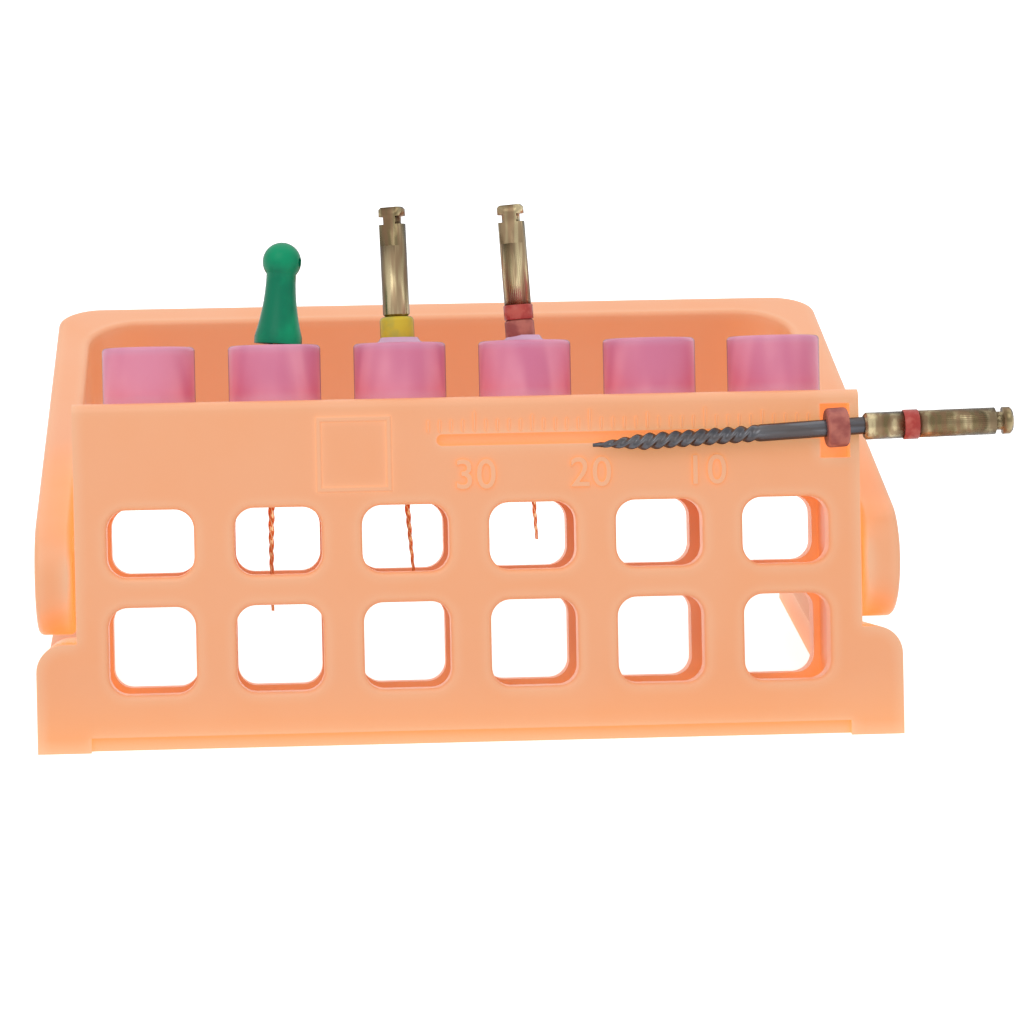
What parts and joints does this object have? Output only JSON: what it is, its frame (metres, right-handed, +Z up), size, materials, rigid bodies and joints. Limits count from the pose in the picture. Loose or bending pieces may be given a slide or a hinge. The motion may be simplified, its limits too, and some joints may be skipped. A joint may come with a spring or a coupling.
{
  "type": "root canal file holder",
  "caption": "Leaning windowed stand with silicone plugs that hold root canal files, a ruler groove on its face and a U-shaped swing cover.",
  "frame": {"origin": "on the ground, in the middle of the underside of the front panel", "axes": "+X right along the stand, +Y to the back, +Z up"},
  "size_m": [0.0847, 0.0552, 0.044],
  "materials": {
    "orange_moulding": "autoclavable moulding, satin",
    "pink_silicone": "smooth silicone, satin",
    "green_grip": "glossy moulded plastic",
    "file_steel": "dark heat-treated steel",
    "gilt_shank": "gold-toned polished shank",
    "red_ring": "painted band",
    "yellow_stop": "silicone stop",
    "brown_stop": "silicone stop"
  },
  "bodies": {
    "stand": {"stand_body": "orange_moulding", "silicone_plug_1": "pink_silicone", "silicone_plug_2": "pink_silicone", "silicone_plug_3": "pink_silicone", "silicone_plug_4": "pink_silicone", "silicone_plug_5": "pink_silicone", "silicone_plug_6": "pink_silicone", "hand_file_handle": "green_grip", "hand_file_blade": "file_steel", "rotary_a_shank": "gilt_shank", "rotary_a_blade": "file_steel", "rotary_a_stop": "yellow_stop", "rotary_b_shank": "gilt_shank", "rotary_b_ring": "red_ring", "rotary_b_blade": "file_steel", "rotary_b_stop": "brown_stop", "measured_file_shank": "gilt_shank", "measured_file_ring": "red_ring", "measured_file_blade": "file_steel", "measured_file_stop": "brown_stop"},
    "cover": {"swing_cover": "orange_moulding"}
  },
  "joints": [
    {"name": "cover_hinge", "type": "hinge", "parent": "stand", "child": "cover", "pos_m": [0, 0.00768, 0.01341], "axis": [1, 0, 0], "range_deg": [0, 60]}
  ]
}
